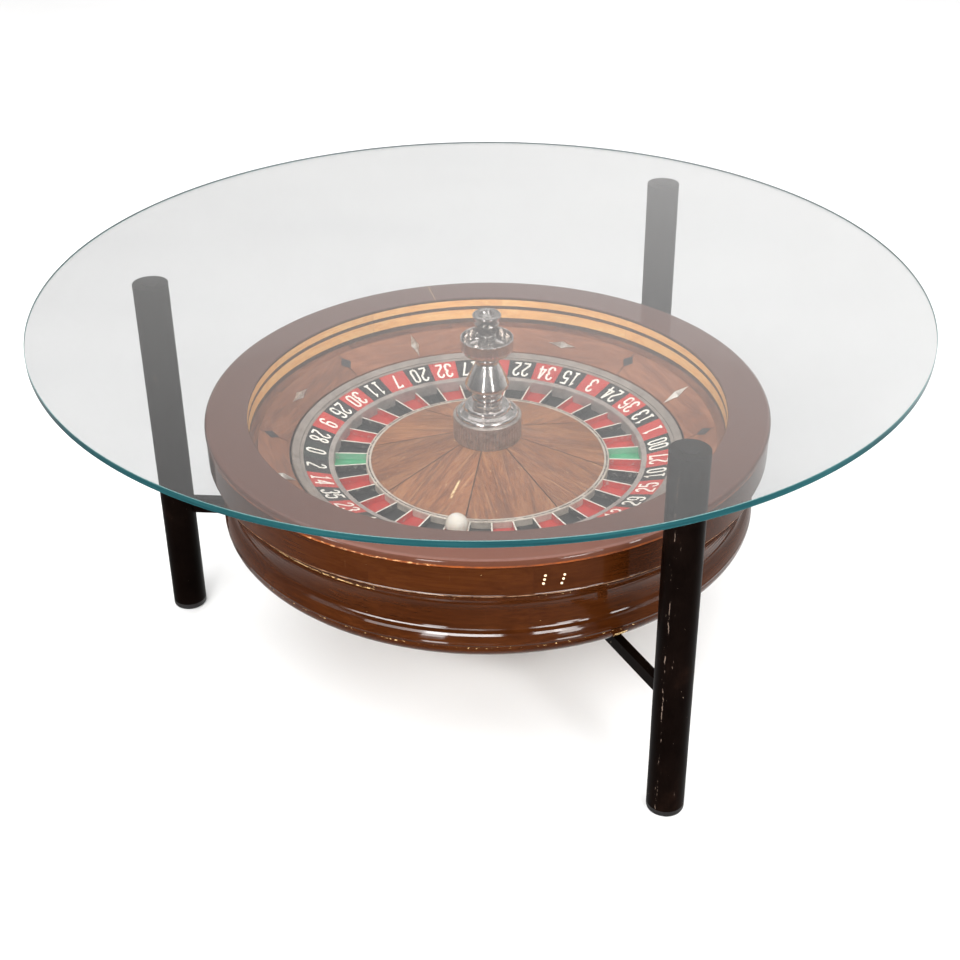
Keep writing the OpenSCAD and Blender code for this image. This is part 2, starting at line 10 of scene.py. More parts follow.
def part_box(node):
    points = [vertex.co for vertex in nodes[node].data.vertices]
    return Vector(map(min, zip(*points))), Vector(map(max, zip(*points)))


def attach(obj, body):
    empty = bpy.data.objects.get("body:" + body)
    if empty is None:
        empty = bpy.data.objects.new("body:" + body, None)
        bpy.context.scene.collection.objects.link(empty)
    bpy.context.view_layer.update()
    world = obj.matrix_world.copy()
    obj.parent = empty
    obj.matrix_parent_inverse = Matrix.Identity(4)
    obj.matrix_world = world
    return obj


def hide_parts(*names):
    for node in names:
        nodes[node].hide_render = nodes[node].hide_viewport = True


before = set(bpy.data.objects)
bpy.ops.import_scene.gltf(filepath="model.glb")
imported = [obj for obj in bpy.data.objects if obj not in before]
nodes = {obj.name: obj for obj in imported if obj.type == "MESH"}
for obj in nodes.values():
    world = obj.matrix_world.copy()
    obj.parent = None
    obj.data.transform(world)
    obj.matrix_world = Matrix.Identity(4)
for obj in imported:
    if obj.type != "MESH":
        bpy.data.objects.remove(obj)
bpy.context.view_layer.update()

MM = 0.001
TAU = 2 * math.pi

# The wheel's numbers, clockwise from the zero
NUMBERS = (
    "0 28 9 26 30 11 7 20 32 17 5 22 34 15 3 24 36 13 1 "
    "00 27 10 25 29 12 8 19 31 18 6 21 33 16 4 23 35 14 2"
).split()
# Bearing of the zero's cell, angle of one cell, and a seam of the cone's panels in degrees
ZERO_BEARING = math.radians(181.6)
PITCH = TAU / len(NUMBERS)
CONE_SEAM = 34.5

# Name of the glass, which the studio's lamps ask for
GLASS = "glass_plate"

# Heights in metres of the worn edges of the bowl: the rubbed shoulder, whose pale line is also a painted
# highlight, the cove's top edge, the foot of the bead and the place where a bar meets the bowl
SHOULDER_HIGHLIGHT = (0.3272, 0.3284)
COVE_EDGE = (0.3078, 0.3108)
COVE_SPECKS = (0.3140, 0.3160)
BEAD_FOOT = (0.2357, 0.2380)
BAR_END = (0.2215, 0.2285)
# Heights on the rim cap: its side, its lower edge, whose rubbed line is also a painted highlight, the joint
# below it, painted dark as shade under the cap's edge, and the start of its flat top, and the radius outside
# which its side tone, rubbed line and painted highlight lie
RIM_SIDE = (0.3722, 0.3835)
RIM_EDGE_HIGHLIGHT = (0.3724, 0.3748)
RIM_JOINT_SHADE = (0.3700, 0.3720)
RIM_TOP = 0.3815
RIM_OUTSIDE = 0.4015

GOLDEN_CHIP = (0.86, 0.60, 0.29)


# ---- Node graphs ----


class Graph:
    """One procedural material under construction."""

    def __init__(self, name):
        self.mat = bpy.data.materials.new(name)
        self.mat.use_nodes = True
        self.tree = self.mat.node_tree
        self.bsdf = self.tree.nodes["Principled BSDF"]
        self.out = self.tree.nodes["Material Output"]
        self.place = self.add("TexCoord").outputs["Object"]

    def add(self, kind, *values, **settings):
        node = self.tree.nodes.new("ShaderNode" + kind)
        for key, value in settings.items():
            setattr(node, key, value)
        for socket, value in zip(node.inputs, values):
            self.feed(socket, value)
        return node

    def feed(self, socket, value):
        if isinstance(value, bpy.types.NodeSocket):
            self.tree.links.new(value, socket)
        elif value is not None:
            socket.default_value = value

    def math(self, operation, *values):
        return self.add("Math", *values, operation=operation).outputs[0]

    def times(self, a, b):
        return self.math("MULTIPLY", a, b)

    def plus(self, a, b):
        return self.math("ADD", a, b)

    def minus(self, a, b):
        return self.math("SUBTRACT", a, b)

    def most(self, a, b):
        return self.math("MAXIMUM", a, b)

    def xyz(self, vector=None):
        return self.add("SeparateXYZ", vector or self.place).outputs

    def vector(self, x, y, z):
        return self.add("CombineXYZ", x, y, z).outputs[0]

    def scaled(self, vector, factor):
        return self.add("VectorMath", vector, factor, operation="MULTIPLY").outputs[0]

    def noise(self, vector, scale=1.0, detail=4.0, rough=0.55, distortion=0.0):
        node = self.add("TexNoise")
        self.feed(node.inputs["Vector"], vector)
        settings = {"Scale": scale, "Detail": detail, "Roughness": rough, "Distortion": distortion}
        for key, value in settings.items():
            node.inputs[key].default_value = value
        return node.outputs[0]

    def span(self, value, low, high, to_low=0.0, to_high=1.0):
        return self.add("MapRange", value, low, high, to_low, to_high).outputs[0]

    def band(self, value, low, high, soft):
        """1 between low and high, falling to 0 over soft outside them."""
        up = self.span(value, low - soft, low)
        down = self.span(value, high, high + soft, 1.0, 0.0)
        return self.times(up, down)

    def ramp(self, value, *stops):
        node = self.add("ValToRGB", value)
        ramp = node.color_ramp
        while len(ramp.elements) < len(stops):
            ramp.elements.new(0.5)
        for element, (at, colour) in zip(ramp.elements, stops):
            element.position = at
            element.color = (*colour, 1)
        return node.outputs[0]

    def mix(self, amount, a, b, blend="MIX"):
        node = self.add("Mix", data_type="RGBA", blend_type=blend)
        self.feed(node.inputs[0], amount)
        for socket, value in ((node.inputs[6], a), (node.inputs[7], b)):
            self.feed(socket, (*value, 1) if isinstance(value, tuple) else value)
        return node.outputs[2]

    def bump(self, height, distance, strength=1.0, normal=None):
        node = self.add("Bump")
        node.inputs["Strength"].default_value = strength
        node.inputs["Distance"].default_value = distance
        self.feed(node.inputs["Height"], height)
        self.feed(node.inputs["Normal"], normal)
        return node.outputs[0]

    def polar(self):
        """Bearing in radians, radius and height about the wheel's axis."""
        x, y, z = self.xyz()
        squares = self.plus(self.times(x, x), self.times(y, y))
        return self.math("ARCTAN2", y, x), self.math("SQRT", squares), z

    def staves(self, count, start):
        """Local wood coordinates of a ring of count pieces, the first beginning at start degrees.

        Gives the way along the radius, the way across it, the height, a random number for each piece,
        and the distance to the nearest joint."""
        bearing, radius, z = self.polar()
        pitch = TAU / count
        turn = self.math("DIVIDE", self.minus(bearing, math.radians(start)), pitch)
        index = self.math("FLOOR", turn)
        away = self.times(self.minus(self.minus(turn, index), 0.5), pitch)
        wrapped = self.math("MODULO", self.plus(index, float(count * 4)), float(count))
        own = self.add("TexWhiteNoise", noise_dimensions="1D")
        self.feed(own.inputs["W"], self.plus(wrapped, 0.37))
        along = self.times(radius, self.math("COSINE", away))
        across = self.times(radius, self.math("SINE", away))
        aside = self.minus(pitch / 2, self.math("ABSOLUTE", away))
        return along, across, z, own.outputs["Value"], self.times(radius, aside)

    def set(self, **values):
        names = {
            "colour": "Base Color", "metal": "Metallic", "rough": "Roughness", "normal": "Normal",
            "specular": "Specular IOR Level", "coat": "Coat Weight", "coat_rough": "Coat Roughness",
            "coat_normal": "Coat Normal", "ior": "IOR", "clear": "Transmission Weight",
            "subsurface": "Subsurface Weight", "radius": "Subsurface Radius", "depth": "Subsurface Scale",
        }
        for key, value in values.items():
            if isinstance(value, tuple) and key == "colour":
                value = (*value, 1)
            self.feed(self.bsdf.inputs[names[key]], value)
        return self.mat


def timber(g, along, across, depth, own, colours, fine=420.0, figure=40.0, spread=0.15):
    """Wood colour and pore height from local coordinates: grain runs along the first."""
    long = g.plus(along, g.times(own, 31.0))

    def figure_noise(stretch, scale, **settings):
        sides = [g.times(way, scale) for way in (across, depth)]
        return g.noise(g.vector(g.times(long, scale / stretch), *sides), **settings)

    grain = figure_noise(22, fine, detail=5.0, rough=0.62, distortion=0.35)
    cloud = figure_noise(8, figure, detail=3.0, rough=0.5, distortion=0.8)
    pores = figure_noise(30, fine * 3.4, detail=2.0, rough=0.5)
    both = g.plus(g.times(grain, 0.6), g.times(cloud, 0.4))
    tone = g.ramp(both, (0.38, colours[0]), (0.5, colours[1]), (0.62, colours[2]))
    lift = g.span(own, 0.0, 1.0, 1 - spread, 1 + spread)
    tone = g.mix(1.0, tone, g.add("CombineColor", lift, lift, lift).outputs[0], "MULTIPLY")
    dark = g.span(pores, 0.58, 0.70)
    tone = g.mix(g.times(dark, 0.5), tone, colours[0])
    return tone, g.minus(g.times(grain, 0.4), dark)


# ---- Materials ----


def lacquered_bowl(name, count, start, rim_wear_and_painted_light=False):
    """Brown mahogany in count staves under an old, uneven gloss, with golden chips along its edges, painted
    highlight lines on its shoulder and rim edge, and painted shade under its rim cap.
    """
    g = Graph(name)
    bearing, radius, z = g.polar()
    along, across, height, own, joint = g.staves(count, start)
    browns = ((0.027, 0.0064, 0.0012), (0.037, 0.0092, 0.0018), (0.049, 0.0132, 0.0028))
    tone, pores = timber(g, across, along, height, own, browns, fine=260.0, figure=22.0, spread=0.04)
    haze = g.noise(g.place, 9.0, 4.0, 0.6)
    tone = g.mix(g.span(haze, 0.45, 0.75, 0.0, 0.5), tone, (0.053, 0.0150, 0.0042))
    tone = g.mix(g.span(joint, 0.0003, 0.0009, 0.22, 0.0), tone, (0.03, 0.008, 0.004))

    def around(turns, up, **settings):
        return g.noise(g.vector(g.times(bearing, turns), 0.0, g.times(z, up)), **settings)

    def stretch(first, last, soft=0.02):
        return g.band(bearing, math.radians(first), math.radians(last), soft)

    # A pale line along the shoulder, partly rubbed wear and partly a painted highlight, chips below it (close
    # together front left), and specks along the bead
    rubbed_highlight = g.span(around(22.0, 30.0, detail=5.0, rough=0.75), 0.38, 0.62, 0.12, 0.95)
    rubbed_highlight = g.times(g.band(z, *SHOULDER_HIGHLIGHT, 0.0005), rubbed_highlight)
    tone = g.mix(rubbed_highlight, tone, (0.40, 0.235, 0.14))
    chip = around(75.0, 260.0, detail=4.0, rough=0.7)
    row = g.times(g.band(z, *COVE_EDGE, 0.0006), stretch(-139, -113))
    row = g.times(row, g.span(chip, 0.505, 0.535))
    cove_specks = g.times(g.band(z, *COVE_SPECKS, 0.0004), g.span(chip, 0.64, 0.66))
    foot = g.times(g.band(z, *BEAD_FOOT, 0.0006), stretch(-140, -60))
    foot = g.times(foot, g.span(chip, 0.61, 0.63))
    bar = g.times(g.band(z, *BAR_END, 0.001), stretch(-64.6, -62.2, 0.006))
    bar = g.times(bar, g.span(around(110.0, 300.0, detail=3.0, rough=0.7), 0.47, 0.52))
    low_chips = g.most(g.most(foot, bar), cove_specks)
    stray = g.span(around(95.0, 250.0, detail=2.0, rough=0.6), 0.765, 0.775)
    wear = g.most(g.most(row, low_chips), stray)
    scratches = g.span(around(420.0, 16.0, detail=2.0, rough=0.8), 0.72, 0.76, 0.0, 0.35)
    tone = g.mix(scratches, tone, (0.40, 0.20, 0.09))
    if rim_wear_and_painted_light:
        outside = g.math("GREATER_THAN", radius, RIM_OUTSIDE)
        tone = g.mix(g.times(g.band(z, *RIM_SIDE, 0.0004), outside), tone, (0.078, 0.0285, 0.0170))
        flat = g.times(g.math("GREATER_THAN", z, RIM_TOP), 0.7)
        tone = g.mix(flat, tone, (0.150, 0.068, 0.052))
        # Rubbed wear along the rim's lower edge that is also a painted highlight line, with paler scuffs on
        # the front left that paint that highlight brighter there
        edge = g.times(g.band(z, *RIM_EDGE_HIGHLIGHT, 0.0008), outside)
        rubbed_highlight = g.times(edge, g.span(around(14.0, 60.0, detail=5.0, rough=0.7), 0.36, 0.62))
        tone = g.mix(rubbed_highlight, tone, (0.24, 0.060, 0.014))
        scuffed_highlight = g.times(edge, stretch(-124, -100))
        scuffed_highlight = g.times(scuffed_highlight, g.span(around(46.0, 300.0, detail=5.0, rough=0.75), 0.52, 0.60))
        tone = g.mix(scuffed_highlight, tone, (0.62, 0.32, 0.14))
        # Painted shade: a dark line over the joint, under the rim cap's edge
        tone = g.mix(g.band(z, *RIM_JOINT_SHADE, 0.0005), tone, (0.016, 0.0035, 0.0015))
    tone = g.mix(wear, tone, GOLDEN_CHIP)
    wide = g.vector(g.times(bearing, 5.0), g.times(radius, 14.0), g.times(z, 22.0))
    waves = g.noise(wide, detail=2.0)
    # The bead and the shoulder are a little fuller than the turned shape, which bends the reflections
    ridge = g.bump(g.band(z, 0.2405, 0.2412, 0.0022), 0.0016, 0.7, g.bump(waves, 0.0005, 0.4))
    gloss = g.bump(g.band(z, 0.3278, 0.3280, 0.0022), 0.0024, 0.9, ridge)
    return g.set(
        colour=tone,
        rough=g.span(haze, 0.3, 0.8, 0.30, 0.50),
        normal=g.bump(g.minus(g.times(pores, 0.10), wear), 0.00025, 0.6, gloss),
        coat=0.7, coat_rough=0.075, coat_normal=gloss, specular=0.0,
    )


def plain_wood(
    name, count, start, colours, radial=False,
    gloss=0.3, coat=0.25, fine=420.0, figure=40.0, seam=0.85, spread=0.15,
):
    """Lacquered wood in count pieces, its grain along the radius or round the ring."""
    g = Graph(name)
    along, across, height, own, joint = g.staves(count, start)
    if not radial:
        along, across = across, along
    tone, pores = timber(g, along, across, height, own, colours, fine, figure, spread)
    haze = g.noise(g.place, 22.0, 4.0, 0.6)
    tone = g.mix(g.span(haze, 0.55, 0.8, 0.0, 0.25), tone, colours[2])
    tone = g.mix(g.span(joint, 0.0004, 0.0011, seam, 0.0), tone, tuple(c * 0.25 for c in colours[0]))
    specks = g.span(g.noise(g.place, 420.0, 1.0, 0.5), 0.765, 0.78)
    tone = g.mix(specks, tone, (0.62, 0.42, 0.22))
    return g.set(
        colour=tone,
        rough=g.span(haze, 0.3, 0.8, gloss, gloss + 0.18),
        normal=g.bump(pores, 0.00012, 0.6),
        coat=coat, coat_rough=0.14, specular=0.2,
    )


def cone_veneer():
    """Radial walnut panels, with dark seams, rays of grain and a few scratches."""
    g = Graph("cone_walnut")
    along, across, height, own, joint = g.staves(8, CONE_SEAM)
    bearing, radius, _ = g.polar()
    walnut = ((0.190, 0.060, 0.018), (0.285, 0.100, 0.033), (0.38, 0.155, 0.058))
    tone, pores = timber(g, along, across, height, own, walnut, fine=240.0, figure=30.0)

    def rays(stretch, scale, shift):
        ways = g.vector(g.times(along, scale / stretch), g.times(across, scale), g.plus(own, shift))
        return g.noise(ways, detail=4.0, rough=0.62, distortion=0.4)

    tone = g.mix(g.span(rays(13, 95.0, 0.0), 0.52, 0.61, 0.0, 0.5), tone, (0.100, 0.030, 0.010))
    tone = g.mix(g.span(rays(30, 150.0, 4.0), 0.57, 0.68, 0.0, 0.5), tone, (0.58, 0.29, 0.13))
    tone = g.mix(g.span(joint, 0.0004, 0.0013, 0.92, 0.0), tone, (0.018, 0.007, 0.003))
    # One long scratch and a few nicks on the side where the ball lies
    scratch = g.band(bearing, math.radians(-112.5), math.radians(-111.4), 0.006)
    scratch = g.times(scratch, g.band(radius, 0.110, 0.138, 0.004))
    scratch = g.times(scratch, g.span(g.noise(g.place, 260.0, 3.0, 0.7), 0.40, 0.50))
    nicks = g.band(bearing, math.radians(-99), math.radians(-82), 0.01)
    nicks = g.times(nicks, g.band(radius, 0.076, 0.087, 0.001))
    nicks = g.times(nicks, g.span(g.noise(g.place, 300.0, 2.0, 0.7), 0.66, 0.70))
    specks = g.span(g.noise(g.place, 380.0, 1.0, 0.5), 0.76, 0.775)
    marks = g.most(g.most(scratch, nicks), specks)
    tone = g.mix(marks, tone, (0.98, 0.72, 0.38))
    return g.set(
        colour=tone, rough=0.36, normal=g.bump(pores, 0.00012, 0.6),
        coat=0.2, coat_rough=0.14, specular=0.2,
    )


def black_paint(name, axis=None):
    """Old black on steel tube, with upright scratches and chips down to pale primer.

    axis is the middle of a leg that also carries two broken scratches down its face."""
    g = Graph(name)
    x, y, z = g.xyz()
    patch = g.noise(g.place, 14.0, 5.0, 0.65)
    tone = g.ramp(
        patch,
        (0.35, (0.0017, 0.0009, 0.0007)), (0.6, (0.0034, 0.0017, 0.0012)), (0.8, (0.010, 0.0044, 0.0026)),
    )

    def upright(scale, stretch, **settings):
        ways = [g.times(way, scale / ratio) for way, ratio in ((x, 1), (y, 1), (z, stretch))]
        return g.noise(g.vector(*ways), **settings)

    scuffs = g.times(g.span(upright(360.0, 9, detail=3.0, rough=0.7), 0.69, 0.73), g.span(patch, 0.50, 0.58))
    marks = g.times(scuffs, 0.8)
    if axis:
        turn = g.math("ARCTAN2", g.minus(y, axis.y), g.minus(x, axis.x))
        sway = g.times(g.minus(upright(40.0, 1), 0.5), 0.5)
        turn = g.plus(turn, sway)
        for bearing, width, gaps in ((-126, 0.026, 0.535), (-134, 0.014, 0.60)):
            line = g.band(turn, math.radians(bearing), math.radians(bearing) + width, 0.015)
            breaks = upright(150.0, 3 + width, detail=4.0, rough=0.75)
            line = g.times(line, g.span(breaks, gaps, gaps + 0.04))
            marks = g.most(marks, line)
    tone = g.mix(marks, tone, (0.135, 0.098, 0.078))
    chips = g.span(upright(260.0, 3, detail=3.0, rough=0.6), 0.735, 0.750)
    tone = g.mix(chips, tone, (0.32, 0.25, 0.195))
    fine = g.noise(g.place, 240.0, 2.0)
    return g.set(
        colour=tone, rough=g.span(patch, 0.3, 0.8, 0.30, 0.50),
        normal=g.bump(g.minus(g.times(fine, 0.12), g.most(chips, marks)), 0.00012, 0.5),
        specular=0.02,
    )


def metal(name, colour, dark, rough, spread=0.16, scale=45.0, streak=(1, 1, 1), dents=0.00006, metallic=1.0):
    """Plated or turned metal with cloudy tarnish and fine marks."""
    g = Graph(name)
    cloud = g.noise(g.place, scale, 5.0, 0.65)
    spots = g.span(g.noise(g.place, scale * 9, 2.0, 0.6), 0.66, 0.72)
    marks = g.noise(g.scaled(g.place, tuple(900.0 * s for s in streak)), 1.0, 2.0)
    tone = g.mix(g.span(cloud, 0.42, 0.75), colour, dark)
    tone = g.mix(g.times(spots, 0.6), tone, dark)
    return g.set(
        colour=tone, metal=metallic,
        rough=g.plus(g.span(cloud, 0.35, 0.75, rough, rough + spread), g.times(marks, 0.05)),
        normal=g.bump(g.plus(g.times(cloud, 0.8), g.times(marks, 0.1)), dents, 0.5),
    )


def ring_metal(name, colour, dark, rough, groove=None):
    """Dull metal with fine lines round the wheel. groove is the radius of a dark broken line."""
    g = Graph(name)
    bearing, radius, z = g.polar()
    turned = g.vector(g.times(bearing, 3.0), g.times(radius, 1500.0), g.times(z, 900.0))
    lines = g.noise(turned, 1.0, 3.0, 0.7)
    cloud = g.noise(g.place, 38.0, 6.0, 0.7)
    small = g.noise(g.place, 240.0, 3.0, 0.65)
    tone = g.mix(g.span(cloud, 0.40, 0.68), colour, dark)
    tone = g.mix(g.span(small, 0.58, 0.72, 0.0, 0.5), tone, dark)
    tone = g.mix(g.span(lines, 0.52, 0.75, 0.0, 0.35), tone, tuple(min(1.0, c * 1.35) for c in colour))
    if groove:
        dirt = g.band(radius, groove - 0.0007, groove + 0.0007, 0.0004)
        dirt = g.times(dirt, g.span(g.noise(g.place, 160.0, 3.0, 0.7), 0.38, 0.50))
        tone = g.mix(dirt, tone, (0.05, 0.045, 0.04))
    return g.set(
        colour=tone, metal=0.35, rough=g.span(cloud, 0.3, 0.75, rough, rough + 0.18),
        normal=g.bump(g.plus(lines, small), 0.00004, 0.5), specular=0.4,
    )


def enamel(name, tone_a, tone_b, worn, shine=0.30, streaks=0.35):
    """Painted metal with fine radial brush marks, scuffs and a soft gloss."""
    g = Graph(name)
    bearing, radius, z = g.polar()

    def brush(across, along):
        ways = [g.times(way, by) for way, by in ((bearing, across), (radius, along), (z, along))]
        return g.noise(g.vector(*ways), detail=3.0, rough=0.6)

    brushed = brush(260.0, 26.0)
    cloud = g.noise(g.place, 60.0, 4.0, 0.6)
    tone = g.mix(g.span(cloud, 0.35, 0.7), tone_a, tone_b)
    tone = g.mix(g.span(brushed, 0.58, 0.78, 0.0, streaks), tone, worn)
    chips = g.span(g.noise(g.place, 500.0, 2.0, 0.6), 0.74, 0.76)
    tone = g.mix(chips, tone, worn)
    return g.set(
        colour=tone, rough=g.span(cloud, 0.3, 0.75, shine, shine + 0.16),
        normal=g.bump(g.minus(brushed, chips), 0.00010, 0.5), coat=0.2, coat_rough=0.14, specular=0.3,
    )


def fret_paint(bare, red, green):
    """Pale metal on top; each side wears the paint of the pocket it faces."""
    g = Graph("fret_paint")
    bearing, _, z = g.polar()
    count = float(len(NUMBERS))
    cloud = g.noise(g.place, 160.0, 4.0, 0.6)
    fine = g.noise(g.place, 700.0, 2.0, 0.6)
    turn = g.math("DIVIDE", g.minus(ZERO_BEARING + PITCH / 2, bearing), PITCH)
    cell = g.math("MODULO", g.plus(g.math("FLOOR", turn), count), count)
    even = g.math("LESS_THAN", g.math("MODULO", cell, 2.0), 0.5)
    # The two zeros, first cell and twentieth, sit opposite each other
    zero = g.math("LESS_THAN", g.math("MODULO", cell, count / 2), 0.5)
    paint = g.mix(even, (0.012, 0.011, 0.011), red)
    paint = g.mix(zero, paint, green)
    worn = g.span(cloud, 0.56, 0.68, 0.0, 0.7)
    paint = g.mix(worn, paint, tuple(c * 0.45 for c in bare))
    metal_tone = g.mix(g.span(cloud, 0.4, 0.7), bare, tuple(c * 0.66 for c in bare))
    top = g.span(g.plus(z, g.times(fine, 0.0008)), 0.2863, 0.2866)
    return g.set(
        colour=g.mix(top, paint, metal_tone), metal=g.times(top, 0.3), specular=0.3,
        rough=g.span(cloud, 0.3, 0.75, 0.3, 0.46), normal=g.bump(g.plus(cloud, fine), 0.00006, 0.5),
    )


def numeral_paint():
    """Cream paint, thin in places."""
    g = Graph("numeral_paint")
    thin = g.noise(g.place, 210.0, 4.0, 0.6)
    tone = g.ramp(thin, (0.3, (0.74, 0.66, 0.54)), (0.5, (0.95, 0.90, 0.80)), (0.8, (0.98, 0.95, 0.88)))
    return g.set(colour=tone, rough=g.span(thin, 0.3, 0.7, 0.4, 0.55), normal=g.bump(thin, 0.00005, 0.4))


def ball_ivory():
    g = Graph("ball_ivory")
    rings = g.noise(g.scaled(g.place, (60.0, 60.0, 240.0)), 1.0, 3.0, 0.6)
    tone = g.ramp(rings, (0.3, (0.66, 0.60, 0.50)), (0.6, (0.80, 0.76, 0.68)), (0.8, (0.86, 0.83, 0.77)))
    g.set(
        colour=tone, rough=g.span(rings, 0.3, 0.7, 0.16, 0.26), normal=g.bump(rings, 0.00005, 0.3),
        subsurface=0.25, radius=(0.9, 0.7, 0.5), depth=0.006, coat=0.3, coat_rough=0.06,
    )
    return g.mat


def raw_board():
    g = Graph("raw_board")
    x, y, z = g.xyz()
    browns = ((0.13, 0.075, 0.04), (0.25, 0.16, 0.09), (0.36, 0.25, 0.15))
    tone, pores = timber(g, x, y, z, 0.4, browns, fine=210.0, figure=16.0)
    g.set(colour=tone, rough=0.72, normal=g.bump(pores, 0.0004, 0.6), specular=0.3)
    return g.mat


def moulded(name, colour, rough, grit=900.0):
    g = Graph(name)
    fine = g.noise(g.place, grit, 3.0, 0.6)
    broad = g.noise(g.place, 30.0, 3.0, 0.6)
    pale = tuple(min(1.0, c * 1.8 + 0.01) for c in colour)
    g.set(
        colour=g.mix(g.span(broad, 0.4, 0.8, 0.0, 0.5), colour, pale),
        rough=g.span(broad, 0.3, 0.8, rough, rough + 0.14), normal=g.bump(fine, 0.0001, 0.4),
    )
    return g.mat


def soft_pad():
    """Thin dark pad, cloudy with age."""
    g = Graph("soft_pad")
    fine = g.noise(g.place, 300.0, 3.0)
    tone = g.ramp(fine, (0.35, (0.003, 0.002, 0.002)), (0.65, (0.010, 0.007, 0.006)))
    return g.set(
        colour=tone, rough=g.span(fine, 0.3, 0.8, 0.4, 0.6), normal=g.bump(fine, 0.0001, 0.3), specular=0.06,
    )


def open_to_lamps(g, tint):
    """Lets lamps and soft bounced light straight through a clear shader."""
    path = g.add("LightPath")
    through = g.add("BsdfTransparent", (*tint, 1))
    inner = g.add("MixShader", path.outputs["Is Diffuse Ray"], g.bsdf.outputs[0], through.outputs[0])
    outer = g.add("MixShader", path.outputs["Is Shadow Ray"], inner.outputs[0], through.outputs[0])
    g.tree.links.new(outer.outputs[0], g.out.inputs["Surface"])


def pane():
    """Clear plate glass, with the faintest dry smears in its tint."""
    g = Graph("plate_glass")
    smear = g.noise(g.scaled(g.place, (2.0, 7.0, 2.0)), 1.0, 5.0, 0.6)
    tint = g.ramp(smear, (0.45, (0.548, 0.551, 0.552)), (0.75, (0.530, 0.535, 0.537)))
    g.set(colour=tint, clear=1.0, ior=1.5, rough=0.0)
    open_to_lamps(g, (0.95, 0.96, 0.96))
    return g.mat


def pane_edge():
    """The deep green-blue that thick glass shows along its polished edge."""
    g = Graph("glass_edge")
    bearing, _, z = g.polar()

    def along_edge(turns, up, **settings):
        return g.noise(g.vector(g.times(bearing, turns), 0.0, g.times(z, up)), **settings)

    drift = along_edge(3.0, 160.0, detail=4.0, rough=0.6)
    fine = along_edge(90.0, 900.0, detail=3.0)
    tone = g.ramp(
        drift, (0.3, (0.0075, 0.038, 0.045)), (0.5, (0.0115, 0.059, 0.067)), (0.72, (0.021, 0.093, 0.099))
    )
    return g.set(
        colour=tone, rough=g.span(fine, 0.3, 0.8, 0.12, 0.26), normal=g.bump(fine, 0.00005, 0.3),
        specular=0.06,
    )


def pane_arris():
    """The ground line where the edge meets the faces."""
    g = Graph("glass_arris")
    grit = g.noise(g.place, 800.0, 3.0, 0.6)
    tone = g.ramp(grit, (0.35, (0.055, 0.12, 0.12)), (0.65, (0.135, 0.23, 0.23)))
    return g.set(
        colour=tone, rough=g.span(grit, 0.3, 0.7, 0.3, 0.5), normal=g.bump(grit, 0.0001, 0.4), specular=0.1,
    )


# ---- Mesh helpers ----


def piece(name, verts, faces, mats, slots=None, smooth=False):
    mesh = bpy.data.meshes.new(name)
    mesh.from_pydata([tuple(v) for v in verts], [], faces)
    for m in mats:
        mesh.materials.append(m)
    for polygon in mesh.polygons:
        polygon.use_smooth = smooth
        if slots:
            polygon.material_index = slots[polygon.index]
    ob = bpy.data.objects.new(name, mesh)
    bpy.context.scene.collection.objects.link(ob)
    bm = bmesh.new()
    bm.from_mesh(mesh)
    bmesh.ops.recalc_face_normals(bm, faces=bm.faces)
    bm.to_mesh(mesh)
    bm.free()
    return ob


def lathe(name, profile, mats, slot_of, centre, steps, smooth_below):
    """A closed solid turned from (radius, height) points. slot_of holds each segment's material slot."""
    verts, rings = [], []
    turns = [TAU * k / steps for k in range(steps)]
    for r, z in profile:
        if r == 0:
            rings.append([len(verts)] * steps)
            verts.append((centre[0], centre[1], z))
        else:
            rings.append([len(verts) + k for k in range(steps)])
            verts += [(centre[0] + r * math.cos(a), centre[1] + r * math.sin(a), z) for a in turns]
    faces, slots = [], []
    for i, (a, b) in enumerate(zip(rings, rings[1:] + rings[:1])):
        if profile[i][0] == 0 and profile[(i + 1) % len(profile)][0] == 0:
            continue
        for k in range(steps):
            n = (k + 1) % steps
            corners = [a[k], a[n], b[n], b[k]]
            face = [v for j, v in enumerate(corners) if v not in corners[:j]]
            faces.append(face)
            slots.append(slot_of[i])
    ob = piece(name, verts, faces, mats, slots, smooth=True)
    soften(ob, smooth_below)
    return ob


def soften(ob, degrees):
    """Smooth shading with creases where faces meet at more than this angle."""
    ob.data.polygons.foreach_set("use_smooth", [True] * len(ob.data.polygons))
    bm = bmesh.new()
    bm.from_mesh(ob.data)
    for edge in bm.edges:
        edge.smooth = edge.calc_face_angle(0) < math.radians(degrees)
    bm.to_mesh(ob.data)
    bm.free()


# ---- Numerals ----


def bend(cx, cy, rx, ry, start, end, n=7):
    steps = [math.radians(start + (end - start) * i / n) for i in range(n + 1)]
    return [(cx + rx * math.cos(a), cy + ry * math.sin(a)) for a in steps]


